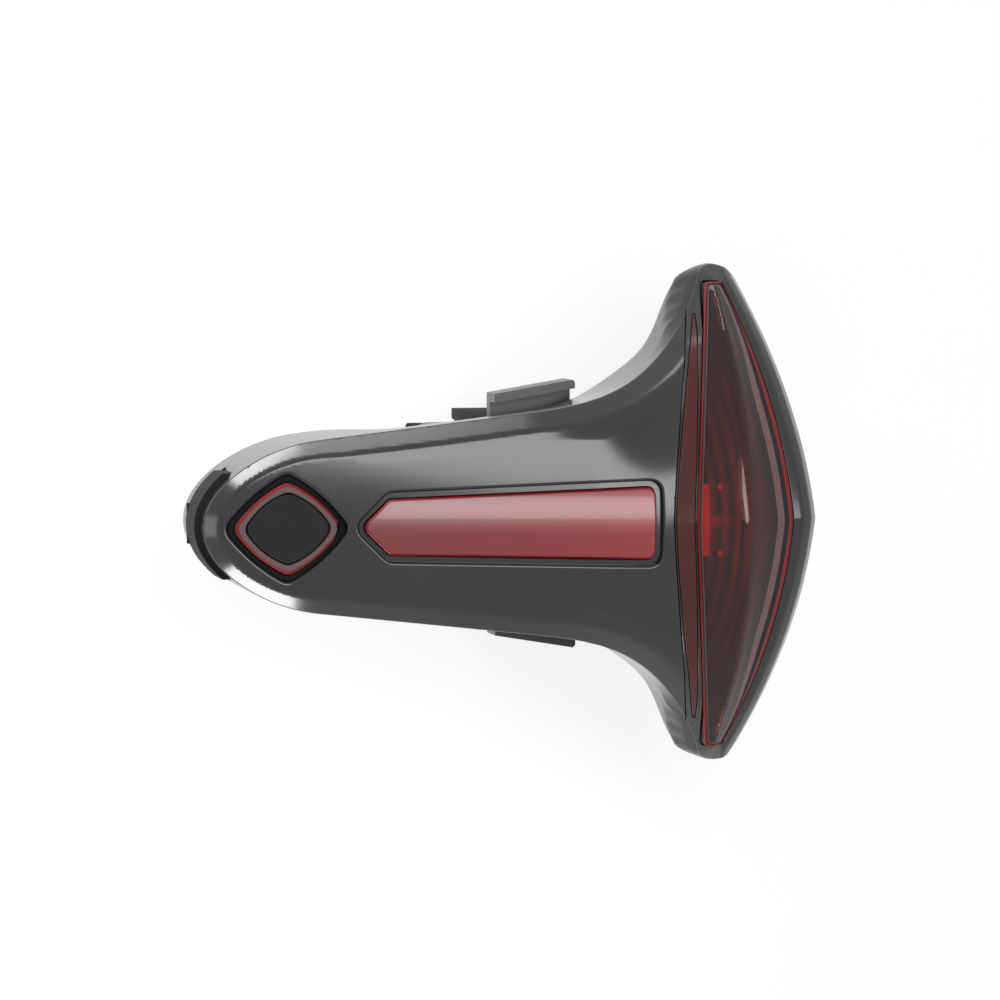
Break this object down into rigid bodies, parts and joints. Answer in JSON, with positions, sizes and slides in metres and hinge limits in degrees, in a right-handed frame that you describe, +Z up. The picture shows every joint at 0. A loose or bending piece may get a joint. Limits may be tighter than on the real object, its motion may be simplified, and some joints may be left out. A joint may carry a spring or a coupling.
{
  "type": "bicycle tail light",
  "caption": "Wide hammer-shaped bicycle tail light with a smoked lens, a red strip lens, a diamond push button and a seat post bracket.",
  "frame": {"origin": "middle of the light's length and width, on the seat post's centre line, where the rubber saddle's rims end", "axes": "+X from the tail with the push button to the wide lens, +Y to one ear, +Z up to the upper cover"},
  "size_m": [0.094, 0.0756, 0.0493],
  "materials": {
    "gloss_black": "gloss, moulded",
    "smoke_red_lens": "gloss, smoked red, clear",
    "dark_red_lens": "gloss, dark red, clear",
    "red_lens": "gloss, red, frosted inside",
    "diffuser": "satin white",
    "pad_rubber": "satin",
    "seal_rubber": "matt",
    "bracket_plastic": "satin, moulded",
    "reflector": "bright",
    "circuit_board": "solder mask",
    "led": "phosphor",
    "switch_metal": "plated",
    "switch_button": "moulded",
    "cell_wrap": "foil",
    "foam": "foam",
    "connector": "moulded",
    "lead_red": "satin",
    "screw_steel": "zinc plated"
  },
  "bodies": {
    "housing": {"top_shell": "gloss_black", "bottom_shell": "gloss_black", "head_bezel": "gloss_black", "head_lens": "smoke_red_lens", "accent_guide": "dark_red_lens", "strip_lens": "red_lens", "button_ring": "dark_red_lens", "strip_light_guide": "diffuser", "shell_seal": "seal_rubber", "lens_gasket": "seal_rubber", "plug_anchor": "pad_rubber", "head_reflector": "reflector", "head_led_board": "circuit_board", "control_board": "circuit_board", "charge_board": "circuit_board", "battery_protection_board": "circuit_board", "head_leds": "led", "strip_leds": "led", "tact_switch": "switch_metal", "usb_port": "switch_metal", "battery_cell": "cell_wrap", "battery_pad": "foam", "battery_connector": "connector", "battery_leads": "lead_red", "case_screws": "screw_steel", "board_screws": "screw_steel"},
    "button": {"button_cap": "pad_rubber", "button_seal": "seal_rubber", "switch_plunger": "switch_button"},
    "charging_plug": {"usb_plug": "pad_rubber"},
    "bracket": {"bracket_base": "bracket_plastic", "bracket_pad": "pad_rubber"}
  },
  "joints": [
    {"name": "button_press", "type": "slide", "parent": "housing", "child": "button", "axis": [0, 0, -1], "range_m": [0, 0.0006], "stiffness_N_per_m": 2500},
    {"name": "plug_hinge", "type": "hinge", "parent": "housing", "child": "charging_plug", "pos_m": [-0.0463, 0, 0.03093], "axis": [0, -1, 0], "range_deg": [0, 105]},
    {"name": "bracket_slide", "type": "slide", "parent": "housing", "child": "bracket", "axis": [-1, 0, 0], "range_m": [0, 0.026]}
  ]
}
